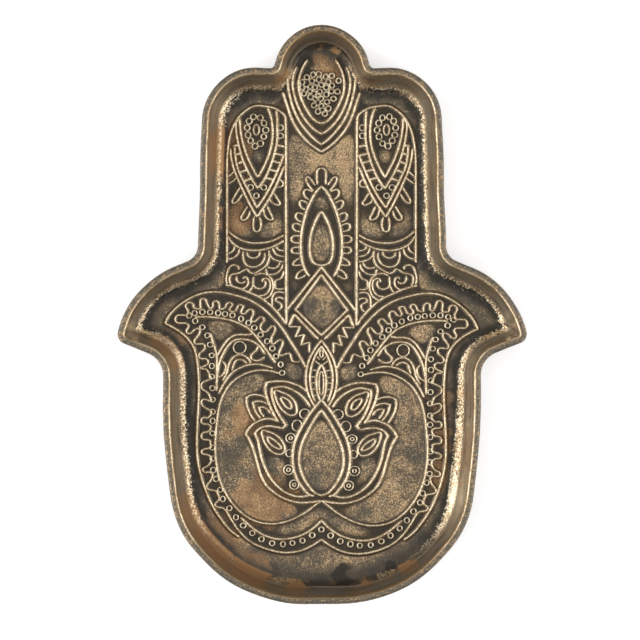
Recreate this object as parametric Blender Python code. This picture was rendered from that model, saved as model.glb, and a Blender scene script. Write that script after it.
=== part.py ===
"""Hamsa trinket dish.

A one-piece cast dish in the outline of an open hand: three fingers, two flicked-out thumbs
and a round palm, with a coved wall, a narrow flat rim and raised lines on its floor. It stands
on four self-adhesive felt pads. Metres, +Z up, fingers towards +Y, origin under the middle.
"""

import math
from itertools import chain, groupby

import bmesh
import bpy
import numpy as np
from mathutils import Vector
from mathutils.geometry import delaunay_2d_cdt, interpolate_bezier

# Hand outline, outside the rim. Each corner is where two straight runs of the hand would meet.
FINGERTIP_Y = 0.1000
FINGERTIP_HALF = 0.0122
FINGERTIP_RADIUS = 0.0165
NOTCH_X = 0.0168
NOTCH_Y = 0.0850
NOTCH_RADIUS = 0.0016
FINGERS_HALF = 0.0410
SHOULDER_Y = 0.0858
SHOULDER_RADIUS = 0.0185
THUMB_ROOT_X = 0.0429
THUMB_ROOT_Y = 0.0200
THUMB_ROOT_RADIUS = 0.0060
THUMB_BACK_X = 0.0665
THUMB_BACK_Y = 0.0100
THUMB_BACK_RADIUS = 0.0330
THUMB_TIP_X = 0.0714
THUMB_TIP_Y = -0.0089
THUMB_TIP_RADIUS = 0.0035
THUMB_CROOK_Y = -0.0155
THUMB_CROOK_RADIUS = 0.0081
PALM_HALF = 0.0549
PALM_SIDE_Y = -0.0420
PALM_SIDE_RADIUS = 0.1500
HEEL_X = 0.0510
HEEL_Y = -0.0737
HEEL_RADIUS = 0.0363
WRIST_HALF = 0.0276
WRIST_Y = -0.1000
WRIST_RADIUS = 0.0490

# Section through the wall
DISH_HEIGHT = 0.0180
FLOOR_THICKNESS = 0.0030
RIM_WIDTH = 0.0025
RIM_OUTER_RADIUS = 0.0010
RIM_INNER_RADIUS = 0.0004
WALL_LEAN = math.radians(12)
COVE_RADIUS = 0.0045
BASE_RADIUS = 0.0070

# Raised lines with a roof-shaped section, on the floor and the lowest rings of the cove
ORNAMENT_UNIT = 0.0010
LINE_WIDTH = 0.0012
LINE_HEIGHT = 0.0007
COVE_RINGS = 2

# Felt pads under the fingers and under the palm
PAD_RADIUS = 0.0060
PAD_THICKNESS = 0.0012
PAD_EDGE = 0.0002
ADHESIVE_FILM = 0.0003
PAD_MARGIN = 0.0030
FINGER_PAD_Y = 0.0580
PALM_PAD_Y = -0.0480

# Facets
CORNER_STEP = math.radians(9)
SECTION_STEP = math.radians(18)
EDGE_STEP = math.radians(45)
LINE_STEP = math.radians(13)
SHARPEST_MITRE = 0.4
MERGED = 0.00002
PAD_SIDES = 32
TIGHTEST_SHARE = 0.4

BASE_Z = PAD_THICKNESS + ADHESIVE_FILM
FLOOR_Z = BASE_Z + FLOOR_THICKNESS
QUARTER = math.pi / 2

# The ornament's right half, in ornament units from the middle of the dish. Smooth curves join the
# points, a bar makes a corner of the point before it, and a line from the middle runs on through it.
ORNAMENT = {
    "fingertip": [
        "0,66.7 3.2,68.6 6.4,73.9 8,79.7 7,85.2 4.8,89",
        "0,63 | 4.2,66.2 8.6,73.8 10.1,81 8.6,86.6",
        "0,59.3 | 4.7,63.5 9.8,72 11.9,82.3",
        "0,56.8 | 4.7,60.2 10.5,68.6 13.5,77.6",
    ],
    "finger panel": [
        "12.2,-3.9 | 12.4,66 | 13.1,69.8 16.7,72 22.2,72.8 27.8,69.9 32,62 33,50 | 33,18 |",
        "18.9,72.2 17,64.5 18.9,54.2 22.2,47.8 | 26.6,57 28.6,68.8",
        "15.8,71.3 15.4,61.5 18.1,51 22.2,44 | 27.7,54.5 29.9,65.5 28.9,68.5",
        "13,56 17.9,44.5 22.5,37.2 | 28.4,49 30.3,59",
        "13,51.8 17.7,41.3 22.5,34 | 29.3,47.5 31.8,58",
        "13.1,27.7 22.2,24.9 32.7,29.3",
        "13.1,25.8 22,22.3 33,27.8",
    ],
    "middle panel": [
        "0,44.6 | 3.2,40.5 6.3,32 7.2,24.5 4.2,13.2",
        "0,36 | 2.7,31 4.1,24 2.8,18.2 0,17.2",
        "0,16.6 | 12.3,1 |",
        "0,14 | 9,1.6 | 0,-7.2 |",
        "11.4,-4.4 | 9.5,-0.1 | 1,-8.7 |",
    ],
    "almond": [
        "0,-8.9 | 4,-15.3 5.4,-22 4.5,-28 2.3,-32.2",
        "0,-11 | 2.9,-16.3 4,-22.5 3,-28.3 2.2,-30.5",
        "0,-17.4 | 1.7,-24 0,-29.8 |",
    ],
    "thumb": [
        "12.2,-3.9 18,3.1 25,7.3 33.5,10.2",
        "5.2,-19 11.2,-9 19.2,0.7 29.7,6.2 37.7,7.4 47.7,3.6 54.5,-5 | 49.7,-7.5 45.4,-11.6 43.4,-17.5"
        " 42.8,-28 43.5,-44 41.5,-59.5 35.4,-72 28.7,-78.6",
        "16,-17.5 21.7,-9.7 28.7,-4.1 36.2,-2.3 44.2,-2.3",
        "38.9,-7.6 36.6,-15.3 36.6,-28",
        "24.2,-7.6 30.7,-8.5 36.4,-15.8",
        "19.5,-14.7 25.7,-9.7 33.2,-13 36.5,-24",
    ],
    "palm": [
        "17,-19.3 25.2,-18.4 31.2,-21.5 35.8,-29",
        "0,-64.9 | 8.7,-71 16.7,-73.5 24.9,-72 33.8,-62.7 37,-50 36,-35 31.7,-25.3 23.2,-20.4 14.7,-21",
        "0,-71.7 | 5.2,-76.2 12.2,-78.6 19.7,-77.7 28.2,-71.7",
        "0,-78.4 | 7.2,-82.5 15.2,-83.2 24.2,-80.4",
    ],
    "lotus": [
        "0,-29.7 | 6.2,-38.3 10,-49 7.8,-58.8 2.5,-63.4",
        "0,-33.3 | 5.7,-42.7 7.8,-50.5 4.2,-60.2 0,-63 |",
        "4.7,-27.3 10.7,-24.1 19,-24.3 | 18.7,-30.5 15.1,-37.8 | 21.2,-37.6 26.4,-42.5 | 23.2,-49.5"
        " 19.5,-59.8 10.7,-65.3 0.2,-64.9",
        "3.9,-32.5 7.7,-27.9 17.2,-26.3 | 16,-33 12.4,-38.8 | 18.2,-39.5 23.2,-42.3 | 20.9,-50.8"
        " 15.7,-60 9.2,-63.6 3.7,-62.9",
        "16.2,-27.2 | 9.4,-30.5 8.8,-34.8 13.7,-33.6 16.2,-27.2 |",
        "20.7,-41.3 | 14.1,-44 13.9,-49.1 19.4,-46 20.7,-41.3 |",
        "19.4,-29.6 26.1,-30 | 25.5,-34 23.2,-38",
        "18.6,-31.9 23.9,-31.5 | 22.7,-35 21.2,-37",
    ],
}


def clear_scene():
    for obj in list(bpy.data.objects):
        bpy.data.objects.remove(obj, do_unlink=True)


def finish(name, colour, metallic, roughness):
    material = bpy.data.materials.new(name)
    material.use_nodes = True
    shader = material.node_tree.nodes["Principled BSDF"]
    shader.inputs["Base Color"].default_value = (*colour, 1)
    shader.inputs["Metallic"].default_value = metallic
    shader.inputs["Roughness"].default_value = roughness
    return material


def add_object(name, shape, material, smooth_angle):
    mesh = bpy.data.meshes.new(name)
    bmesh.ops.recalc_face_normals(shape, faces=shape.faces)
    shape.to_mesh(mesh)
    shape.free()
    mesh.materials.append(material)
    mesh.shade_smooth()
    mesh.set_sharp_from_angle(angle=smooth_angle)
    obj = bpy.data.objects.new(name, mesh)
    bpy.context.collection.objects.link(obj)
    return obj


def hand_corners():
    """Corners of the whole outline, anticlockwise from the wrist, as (point, radius)."""
    right = [
        (WRIST_HALF, WRIST_Y, WRIST_RADIUS),
        (HEEL_X, HEEL_Y, HEEL_RADIUS),
        (PALM_HALF, PALM_SIDE_Y, PALM_SIDE_RADIUS),
        (PALM_HALF, THUMB_CROOK_Y, THUMB_CROOK_RADIUS),
        (THUMB_TIP_X, THUMB_TIP_Y, THUMB_TIP_RADIUS),
        (THUMB_BACK_X, THUMB_BACK_Y, THUMB_BACK_RADIUS),
        (THUMB_ROOT_X, THUMB_ROOT_Y, THUMB_ROOT_RADIUS),
        (FINGERS_HALF, SHOULDER_Y, SHOULDER_RADIUS),
        (NOTCH_X, NOTCH_Y, NOTCH_RADIUS),
        (FINGERTIP_HALF, FINGERTIP_Y, FINGERTIP_RADIUS),
    ]
    left = [(-x, y, radius) for x, y, radius in reversed(right)]
    return [(Vector((x, y)), radius) for x, y, radius in right + left]


def left_of(direction):
    return Vector((-direction.y, direction.x))


def inset_corner(before, corner, after, inset):
    """Moves a corner to the left by inset from both of its runs, and gives its turn to the left."""
    into = (corner - before).normalized()
    out = (after - corner).normalized()
    sides = left_of(into), left_of(out)
    moved = corner + (sides[0] + sides[1]) * (inset / max(1 + sides[0].dot(sides[1]), SHARPEST_MITRE))
    turn = math.atan2(into.x * out.y - into.y * out.x, into.dot(out))
    return moved, into, turn


def hand_outline(inset):
    """Points of the outline moved inwards by inset, as many for every inset."""
    corners = hand_corners()
    count = len(corners)
    moved, heading, turns, reach = [], [], [], []
    for i, (corner, radius) in enumerate(corners):
        before, after = corners[i - 1][0], corners[(i + 1) % count][0]
        point, into, turn = inset_corner(before, corner, after, inset)
        rounded = max(radius - inset, inset * TIGHTEST_SHARE) if turn > 0 else radius + inset
        moved.append(point)
        heading.append(into)
        turns.append(turn)
        reach.append(rounded * math.tan(abs(turn) / 2))
    points = []
    for i, turn in enumerate(turns):
        room = 1.0
        for j in (i - 1, (i + 1) % count):
            room = min(room, (moved[i] - moved[j]).length / (reach[i] + reach[j]))
        start = moved[i] - heading[i] * reach[i] * room
        radius = reach[i] * room / math.tan(abs(turn) / 2)
        spoke = left_of(heading[i]) * math.copysign(radius, turn)
        steps = math.ceil(abs(turn) / CORNER_STEP)
        for step in range(steps + 1):
            swing = math.cos(turn * step / steps), math.sin(turn * step / steps)
            arm = Vector((spoke.x * swing[0] - spoke.y * swing[1], spoke.x * swing[1] + spoke.y * swing[0]))
            points.append(start + spoke - arm)
    return points


def curl(radius, low_z, top_inset, top_z):
    """Arc from the level at low_z up to the leaning wall that ends at (top_inset, top_z)."""
    steepest = QUARTER - WALL_LEAN
    tangent_z = low_z + radius * (1 - math.cos(steepest))
    centre = top_inset + (top_z - tangent_z) * math.tan(WALL_LEAN) + radius * math.sin(steepest)
    steps = math.ceil(steepest / SECTION_STEP)
    slopes = [steepest * step / steps for step in range(steps + 1)]
    return [(centre - radius * math.sin(a), low_z + radius * (1 - math.cos(a))) for a in slopes]


def wall_section():
    """Pairs of inset and height, from the underside over the rim to the floor."""
    outer_top = DISH_HEIGHT - RIM_OUTER_RADIUS
    inner_top = DISH_HEIGHT - RIM_INNER_RADIUS
    outside = curl(BASE_RADIUS, BASE_Z, 0.0, outer_top)
    steps = math.ceil(QUARTER / EDGE_STEP)
    turns = [QUARTER * step / steps for step in range(steps + 1)]
    rounded = [(1 - math.cos(a), math.sin(a)) for a in turns]
    outer_edge = [(inset * RIM_OUTER_RADIUS, outer_top + up * RIM_OUTER_RADIUS) for inset, up in rounded]
    inner_edge = [(RIM_WIDTH - RIM_INNER_RADIUS, DISH_HEIGHT), (RIM_WIDTH, inner_top)]
    inside = curl(COVE_RADIUS, FLOOR_Z, RIM_WIDTH, inner_top)
    return outside + outer_edge + inner_edge + inside[::-1]


def read_line(text):
    """Points of a line of the ornament, with its corners doubled."""
    points = []
    for mark in text.split():
        is_bar = mark == "|"
        points.append(points[-1] if is_bar else Vector(map(float, mark.split(","))) * ORNAMENT_UNIT)
    return points


def smooth(points):
    """Runs a cubic between every two points, and a straight end into a doubled point."""
    path = [points[0]]
    last = len(points) - 1
    for i in range(last):
        before, start, end, after = [points[min(max(k, 0), last)] for k in range(i - 1, i + 3)]
        if start != end:
            leave, arrive = (end - before).normalized(), (after - start).normalized()
            turn = leave.angle(end - start) + arrive.angle(end - start)
            steps = max(math.ceil(turn / LINE_STEP), 1)
            reach = (end - start).length / 3
            path += interpolate_bezier(start, start + leave * reach, end - arrive * reach, end, steps + 1)[1:]
    return path


def drawn_lines():
    """Middles of the raised lines on both halves of the dish."""
    lines = []
    for text in chain.from_iterable(ORNAMENT.values()):
        right = read_line(text)
        left = [Vector((-point.x, point.y)) for point in right]
        lines += [left[:0:-1] + right] if right[0].x == 0 else [left, right]
    return [smooth(line) for line in lines]


def is_inside(point, edge):
    """Counts how often a ray to the right crosses the edge."""
    crossed = 0
    for start, end in zip(edge, edge[1:] + edge[:1]):
        if (start.y > point.y) != (end.y > point.y):
            crossed += point.x < start.x + (end - start).x * (point.y - start.y) / (end - start).y
    return crossed % 2 == 1


def lines_inside(edge):
    """The stretches of the raised lines that stay inside an outline."""
    runs = []
    for line in drawn_lines():
        runs += [list(run) for inside, run in groupby(line, lambda point: is_inside(point, edge)) if inside]
    return [run for run in runs if len(run) > 1]


def line_foot(line):
    """The closed edge of a raised line: its two sides, and a point beyond each end."""
    beyond = [line[0] * 2 - line[1]] + line + [line[-1] * 2 - line[-2]]
    corners = list(zip(beyond, line, beyond[2:]))
    half = LINE_WIDTH / 2
    right = [inset_corner(*corner, -half)[0] for corner in corners]
    left = [inset_corner(*corner, half)[0] for corner in corners]
    tail = line[0] + (line[0] - line[1]).normalized() * half
    head = line[-1] + (line[-1] - line[-2]).normalized() * half
    return [tail] + right + [head] + left[::-1]


def spans_of(paths):
    """Starts and runs of the straight spans of some paths."""
    spans = [(start, end - start) for path in paths for start, end in zip(path, path[1:])]
    return np.array([span for span in spans if span[1].length > MERGED]).swapaxes(0, 1)


def gap_to(point, spans):
    """Distance from a point to the nearest span."""
    starts, runs = spans
    away = np.array(point) - starts
    shares = np.clip((away * runs).sum(axis=1) / (runs * runs).sum(axis=1), 0, 1)
    return np.linalg.norm(away - runs * shares[:, None], axis=1).min()


def cove_rise(inset, floor_inset):
    """Height of the cove above the floor."""
    climb = max(floor_inset - inset, 0)
    return COVE_RADIUS - math.sqrt(COVE_RADIUS**2 - climb**2)


def roof_rise(gap):
    """Height of a raised line at a distance from its middle."""
    return LINE_HEIGHT * max(1 - gap / (LINE_WIDTH / 2), 0)


def fill_floor(shape, ring, insets):
    """Closes the dish from a ring in the cove inwards, with a roof along every raised line."""
    lines = lines_inside(hand_outline(insets[0] + LINE_WIDTH))
    loops = [hand_outline(inset) for inset in insets[1:]] + [line_foot(line) for line in lines]
    points = [vertex.co.xy for vertex in ring]
    edge_spans, line_spans = spans_of([points + points[:1]]), spans_of(lines)
    edges = []
    for path in lines + [loop + loop[:1] for loop in loops]:
        edges += [(len(points) + i, len(points) + i + 1) for i in range(len(path) - 1)]
        points += path
    flat, _, faces, origins, _, _ = delaunay_2d_cdt(points, edges, [list(range(len(ring)))], 1, MERGED)
    corners = {}
    for index in sorted(set(chain.from_iterable(faces))):
        point = flat[index]
        on_ring = [origin for origin in origins[index] if origin < len(ring)]
        rise = cove_rise(insets[0] + gap_to(point, edge_spans), insets[-1])
        lift = FLOOR_Z + rise + roof_rise(gap_to(point, line_spans))
        corners[index] = ring[on_ring[0]] if on_ring else shape.verts.new((*point, lift))
    for face in faces:
        shape.faces.new([corners[index] for index in face])


def make_dish():
    shape = bmesh.new()
    section = wall_section()
    rings = []
    for inset, height in section[:-COVE_RINGS]:
        rings.append([shape.verts.new((p.x, p.y, height)) for p in hand_outline(inset)])
    for lower, upper in zip(rings, rings[1:]):
        for i in range(len(lower)):
            shape.faces.new((lower[i - 1], lower[i], upper[i], upper[i - 1]))
    shape.faces.new(rings[0])
    fill_floor(shape, rings[-1], [inset for inset, _ in section[-COVE_RINGS - 1 :]])
    bmesh.ops.remove_doubles(shape, verts=shape.verts, dist=MERGED)
    bronze = finish("antique_bronze", (0.21, 0.165, 0.115), 1.0, 0.45)
    return add_object("dish_body", shape, bronze, math.radians(40))


def make_pads():
    """Four die-cut felt discs, set in from the edge of the flat underside."""
    felt = finish("black_felt", (0.025, 0.024, 0.023), 0.0, 0.95)
    base_inset = wall_section()[0][0]
    edge = base_inset + PAD_RADIUS + PAD_MARGIN
    places = {"finger": (FINGERS_HALF - edge, FINGER_PAD_Y), "palm": (PALM_HALF - edge, PALM_PAD_Y)}
    for where, (x, y) in places.items():
        for side, sign in (("left", -1), ("right", 1)):
            shape = bmesh.new()
            bmesh.ops.create_cone(
                shape,
                cap_ends=True,
                segments=PAD_SIDES,
                radius1=PAD_RADIUS,
                radius2=PAD_RADIUS,
                depth=PAD_THICKNESS,
            )
            pad = add_object(f"felt_pad_{where}_{side}", shape, felt, math.radians(40))
            pad.location = (sign * x, y, PAD_THICKNESS / 2)
            bevel = pad.modifiers.new("cut_edge", "BEVEL")
            bevel.width = PAD_EDGE
            bevel.segments = 1


clear_scene()
make_dish()
make_pads()
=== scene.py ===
# %% [markdown]
# # A hamsa trinket dish in antique bronze
# The real dish is one casting in the outline of an open hand. Its floor carries an ornament of raised
# lines and small rings, and its finish is a dark patina that a cloth has rubbed back to gold wherever
# it could reach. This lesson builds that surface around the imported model, which fixes every size.

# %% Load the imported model
import math
from types import SimpleNamespace

import bmesh
import bpy
from mathutils import Matrix, Vector, noise
from mathutils.geometry import delaunay_2d_cdt, interpolate_bezier


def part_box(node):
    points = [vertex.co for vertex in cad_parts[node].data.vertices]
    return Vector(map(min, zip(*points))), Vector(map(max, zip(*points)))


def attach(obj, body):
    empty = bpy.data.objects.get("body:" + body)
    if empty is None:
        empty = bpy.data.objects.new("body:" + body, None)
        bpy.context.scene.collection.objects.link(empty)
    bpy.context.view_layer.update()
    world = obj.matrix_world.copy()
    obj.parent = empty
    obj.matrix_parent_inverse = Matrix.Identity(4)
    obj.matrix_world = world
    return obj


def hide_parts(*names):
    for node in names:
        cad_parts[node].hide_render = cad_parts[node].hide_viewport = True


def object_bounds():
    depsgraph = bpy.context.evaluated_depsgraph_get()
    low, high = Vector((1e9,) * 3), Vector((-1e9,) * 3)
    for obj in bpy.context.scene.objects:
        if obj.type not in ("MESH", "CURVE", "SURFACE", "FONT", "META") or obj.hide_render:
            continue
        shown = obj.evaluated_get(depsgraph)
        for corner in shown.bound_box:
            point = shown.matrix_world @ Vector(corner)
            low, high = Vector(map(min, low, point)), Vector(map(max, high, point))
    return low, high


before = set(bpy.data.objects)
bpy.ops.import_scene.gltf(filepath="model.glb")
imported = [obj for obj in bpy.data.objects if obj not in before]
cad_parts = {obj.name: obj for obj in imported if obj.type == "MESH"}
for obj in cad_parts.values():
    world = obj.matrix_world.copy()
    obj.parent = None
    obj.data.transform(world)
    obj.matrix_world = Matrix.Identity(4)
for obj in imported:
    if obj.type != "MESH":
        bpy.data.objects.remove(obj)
cad_low, cad_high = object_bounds()
MM = 0.001
print("nodes in the frame:", sorted(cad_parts))

# %% [markdown]
# ## Camera and light
# The photograph looks straight down on the dish from a good distance, so the camera hangs above it with
# a long lens. Two wide soft boxes stand low on the left and the right, a little nearer the wrist: the
# coved wall mirrors them, which draws the bright bands on both sides of the hand. The left one is
# stronger. A wide, weak box overhead keeps the flat floor from going black.

# %% Camera straight above
CAMERA_HEIGHT = 1.3
VIEW_WIDTH = 0.2207
VIEW_CENTRE = (-0.0007, -0.0019)

camera_data = bpy.data.cameras.new("camera")
camera_data.lens = camera_data.sensor_width * (CAMERA_HEIGHT - cad_high.z) / VIEW_WIDTH
camera = bpy.data.objects.new("camera", camera_data)
camera.location = (*VIEW_CENTRE, CAMERA_HEIGHT)
bpy.context.scene.collection.objects.link(camera)
bpy.context.scene.camera = camera
print(f"lens {camera_data.lens:.0f} mm")

# %% Soft boxes and room light
SOFT_BOX_SIZE = (1.1, 1.5)
SOFT_BOX_REACH = 0.95
SOFT_BOX_RISE = 0.55
SOFT_BOX_NEARER = -0.1
SOFT_BOX_POWERS = {"left": 11.8, "right": 8.8}
OVERHEAD_SIZE = (1.5, 1.5)
OVERHEAD_RISE = 1.7
OVERHEAD_POWER = 6.5
ROOM_LIGHT = 0.25


def soft_box(name, size, power, place):
    """A lamp that faces the middle line of the dish from the side or from above."""
    lamp = bpy.data.lights.new(name, "AREA")
    lamp.shape = "RECTANGLE"
    lamp.size, lamp.size_y = size
    lamp.energy = power
    box = bpy.data.objects.new(name, lamp)
    box.location = place
    box.rotation_euler = (0, math.atan2(place[0], place[2]), 0)
    bpy.context.scene.collection.objects.link(box)


for side, reach in (("left", -SOFT_BOX_REACH), ("right", SOFT_BOX_REACH)):
    place = (reach, SOFT_BOX_NEARER, SOFT_BOX_RISE)
    soft_box(f"soft_box_{side}", SOFT_BOX_SIZE, SOFT_BOX_POWERS[side], place)
soft_box("overhead", OVERHEAD_SIZE, OVERHEAD_POWER, (0.0, 0.0, OVERHEAD_RISE))
world = bpy.data.worlds.new("room")
world.use_nodes = True
background = world.node_tree.nodes["Background"].inputs
background["Color"].default_value = (ROOM_LIGHT, ROOM_LIGHT, ROOM_LIGHT, 1)
bpy.context.scene.world = world
bpy.context.scene.view_settings.view_transform = "Standard"
print("lamps:", sorted(lamp.name for lamp in bpy.data.lights))

# %% [markdown]
# ## Wiring nodes from Python
# Materials and Geometry Nodes are both trees of nodes. One small class holds a socket, so that a sum
# or a product of two sockets can be written as a Python expression and any other node is one call.


# %% A socket that does arithmetic
class Wire:
    """An output socket of a tree, or with no socket the tree alone."""

    def __init__(self, tree, socket=None):
        self.tree = tree
        self.socket = socket

    def node(self, kind, settings=None, sockets=None, output=0):
        made = self.tree.nodes.new(kind)
        for name, value in (settings or {}).items():
            setattr(made, name, value)
        for name, value in (sockets or {}).items():
            for one in value if isinstance(value, list) else [value]:
                if isinstance(one, Wire):
                    self.tree.links.new(one.socket, made.inputs[name])
                else:
                    made.inputs[name].default_value = one
        return Wire(self.tree, made.outputs[output])

    def math(self, operation, first, second=0.0):
        return self.node("ShaderNodeMath", {"operation": operation}, {0: first, 1: second})

    def __add__(self, other):
        return self.math("ADD", self, other)

    def __sub__(self, other):
        return self.math("SUBTRACT", self, other)

    def __rsub__(self, other):
        return self.math("SUBTRACT", other, self)

    def __mul__(self, other):
        return self.math("MULTIPLY", self, other)

    def __truediv__(self, other):
        return self.math("DIVIDE", self, other)

    __radd__ = __add__
    __rmul__ = __mul__

    def most(self, other):
        return self.math("MAXIMUM", self, other)

    def least(self, other):
        return self.math("MINIMUM", self, other)

    def step(self, low, high):
        """Runs smoothly from 0 at low to 1 at high."""
        sockets = {"Value": self, "From Min": low, "From Max": high}
        return self.node("ShaderNodeMapRange", {"interpolation_type": "SMOOTHSTEP"}, sockets)

    def tint(self, low, high):
        """A colour that runs from low to high as this value runs from 0 to 1."""
        ends = [one if isinstance(one, Wire) else (*one, 1) for one in (low, high)]
        sockets = {0: self, 6: ends[0], 7: ends[1]}
        return self.node("ShaderNodeMix", {"data_type": "RGBA"}, sockets, output=2)

    def part(self, axis):
        return self.node("ShaderNodeSeparateXYZ", sockets={0: self}, output="XYZ".index(axis))

    def grain(self, size, detail=2.0, stretch=(1, 1, 1)):
        """Noise with lumps of about that size in millimetres, longer along a stretched axis."""
        scale = tuple(1 / (size * MM * along) for along in stretch)
        spread = self.node("ShaderNodeVectorMath", {"operation": "MULTIPLY"}, {0: self, 1: scale})
        return self.node("ShaderNodeTexNoise", sockets={"Vector": spread, "Scale": 1.0, "Detail": detail})

    def flakes(self, size):
        """A random value for each cell of about that size in millimetres."""
        sockets = {"Vector": self, "Scale": 1 / (size * MM)}
        return self.node("ShaderNodeTexVoronoi", sockets=sockets, output=1).part("X")


# %% Geometry Nodes trees that leave a plain mesh
def new_tree(name, inputs):
    """A tree with the named inputs, and a wire for each of them."""
    tree = bpy.data.node_groups.new(name, "GeometryNodeTree")
    tree.interface.new_socket("Geometry", in_out="INPUT", socket_type="NodeSocketGeometry")
    for label, kind in inputs.items():
        tree.interface.new_socket(label, in_out="INPUT", socket_type="NodeSocket" + kind)
    tree.interface.new_socket("Geometry", in_out="OUTPUT", socket_type="NodeSocketGeometry")
    entry = tree.nodes.new("NodeGroupInput")
    return tree, {socket.name: Wire(tree, socket) for socket in entry.outputs if socket.name}


def shape_of(source):
    return source.node("GeometryNodeObjectInfo", sockets={"Object": source}, output=4)


def keep_value(geometry, name, value):
    sockets = {0: geometry, "Name": name, "Value": value}
    return geometry.node("GeometryNodeStoreNamedAttribute", {"data_type": "FLOAT"}, sockets)


def close_tree(geometry, material):
    solid = geometry.node("GeometryNodeRealizeInstances", sockets={0: geometry})
    smooth = solid.node("GeometryNodeSetShadeSmooth", sockets={0: solid})
    painted = smooth.node("GeometryNodeSetMaterial", sockets={0: smooth, "Material": material})
    leave = painted.tree.nodes.new("NodeGroupOutput")
    painted.tree.links.new(painted.socket, leave.inputs[0])


def add_piece(name, mesh):
    piece = bpy.data.objects.new(name, mesh)
    bpy.context.scene.collection.objects.link(piece)
    return piece


def run_tree(tree, piece, values):
    """Runs a tree on a piece, whose mesh becomes the plain result."""
    modifier = piece.modifiers.new(tree.name, "NODES")
    modifier.node_group = tree
    for socket in tree.interface.items_tree:
        if socket.in_out == "INPUT" and socket.name in values:
            modifier[socket.identifier] = values[socket.name]
    evaluated = piece.evaluated_get(bpy.context.evaluated_depsgraph_get())
    mesh = bpy.data.meshes.new_from_object(evaluated)
    piece.modifiers.remove(modifier)
    mesh.name = piece.name
    while mesh.materials[0] is None:
        mesh.materials.pop(index=0)
    piece.data = mesh
    print(f"{piece.name}: {sum(len(face.vertices) - 2 for face in mesh.polygons)} triangles")


# %% [markdown]
# ## Pale floor
# The floor is nearly white and takes the shadow of the dish. Light Path lifts it the last step to white
# for the camera and for mirrored rays, so that no extra light has to fall on the metal.

# %% Floor under the dish
FLOOR_SIZE = 6.0
FLOOR_WHITE = (0.93, 0.93, 0.93)
FLOOR_LIFT = 0.42


def floor_paint():
    material = bpy.data.materials.new("pale_floor")
    material.use_nodes = True
    surface = material.node_tree.nodes["Principled BSDF"].inputs
    bench = Wire(material.node_tree)
    rays = ("Is Camera Ray", "Is Glossy Ray", "Is Transmission Ray")
    camera_ray, glossy_ray, clear_ray = [bench.node("ShaderNodeLightPath", output=ray) for ray in rays]
    seen = camera_ray.most(glossy_ray).most(clear_ray).tint((0, 0, 0), (1, 1, 1))
    material.node_tree.links.new(seen.socket, surface["Emission Color"])
    surface["Emission Strength"].default_value = FLOOR_LIFT
    surface["Base Color"].default_value = (*FLOOR_WHITE, 1)
    surface["Roughness"].default_value = 0.9
    return material


floor_shape = bmesh.new()
bmesh.ops.create_grid(floor_shape, x_segments=1, y_segments=1, size=FLOOR_SIZE / 2)
floor_mesh = bpy.data.meshes.new("floor")
floor_shape.to_mesh(floor_mesh)
floor_shape.free()
floor_mesh.materials.append(floor_paint())
floor = add_piece("floor", floor_mesh)
print(f"floor {FLOOR_SIZE} m wide")

# %% [markdown]
# ## The hand in outline
# A hand drawn with straight runs and rounded corners is easy to move inwards: every run shifts by the
# same inset, outer corners get tighter and inner corners get wider. Lofting such outlines at the heights
# of the wall's section gives the rim, the leaning wall and the cove without one hand-placed vertex.

# %% Corners of the right half: x, y and corner radius in millimetres
HAND = [
    (27.6, -100.0, 49.0),
    (51.0, -73.7, 36.3),
    (54.9, -42.0, 150.0),
    (54.9, -15.5, 8.1),
    (71.4, -8.9, 3.5),
    (66.5, 10.0, 33.0),
    (42.9, 20.0, 6.0),
    (41.0, 85.8, 18.5),
    (16.8, 85.0, 1.6),
    (12.2, 100.0, 16.5),
]
TIGHTEST_CORNER = 0.4


def left_of(direction):
    return Vector((-direction.y, direction.x))


def hand_corners(inset):
    """Corners moved inwards, as (point, heading into it, turn, reach of its rounding along the runs)."""
    corners = HAND + [(-x, y, radius) for x, y, radius in reversed(HAND)]
    points = [Vector(corner[:2]) for corner in corners]
    found = []
    for i, point in enumerate(points):
        into = (point - points[i - 1]).normalized()
        out = (points[(i + 1) % len(points)] - point).normalized()
        sides = left_of(into), left_of(out)
        moved = point + (sides[0] + sides[1]) * (inset / (1 + sides[0].dot(sides[1])))
        turn = math.atan2(into.x * out.y - into.y * out.x, into.dot(out))
        radius = corners[i][2]
        rounded = max(radius - inset, inset * TIGHTEST_CORNER) if turn > 0 else radius + inset
        found.append((moved, into, turn, rounded * math.tan(abs(turn) / 2)))
    return found


# %% Rounded outline with even points
CORNER_STEP = math.radians(4)
RUN_STEP = 1.2


def hand_arcs(inset):
    corners = hand_corners(inset)
    arcs = []
    for i, (point, heading, turn, reach) in enumerate(corners):
        room = 1.0
        for other in (corners[i - 1], corners[(i + 1) % len(corners)]):
            room = min(room, (point - other[0]).length / (reach + other[3]))
        start = point - heading * reach * room
        spoke = left_of(heading) * math.copysign(reach * room / math.tan(abs(turn) / 2), turn)
        steps = math.ceil(abs(turn) / CORNER_STEP)
        swings = [Matrix.Rotation(turn * step / steps, 2) for step in range(steps + 1)]
        arcs.append([start + spoke - swing @ spoke for swing in swings])
    return arcs


outer_arcs = hand_arcs(0.0)
run_lengths = [(arc[0] - outer_arcs[i - 1][-1]).length for i, arc in enumerate(outer_arcs)]
run_steps = [max(1, round(length / RUN_STEP)) for length in run_lengths]


def hand_outline(inset):
    """Points of the outline moved inwards by inset, as many for every inset."""
    arcs = hand_arcs(inset)
    points = []
    for i, arc in enumerate(arcs):
        for step in range(1, run_steps[i]):
            points.append(arcs[i - 1][-1].lerp(arc[0], step / run_steps[i]))
        points += arc
    return points


print("points round the hand:", len(hand_outline(0.0)))

# %% [markdown]
# ## Section through the wall
# The wall is drawn once, as pairs of inset and height, from the underside over the rim down to the
# floor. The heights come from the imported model, so the fine dish fills exactly the same space.

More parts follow.
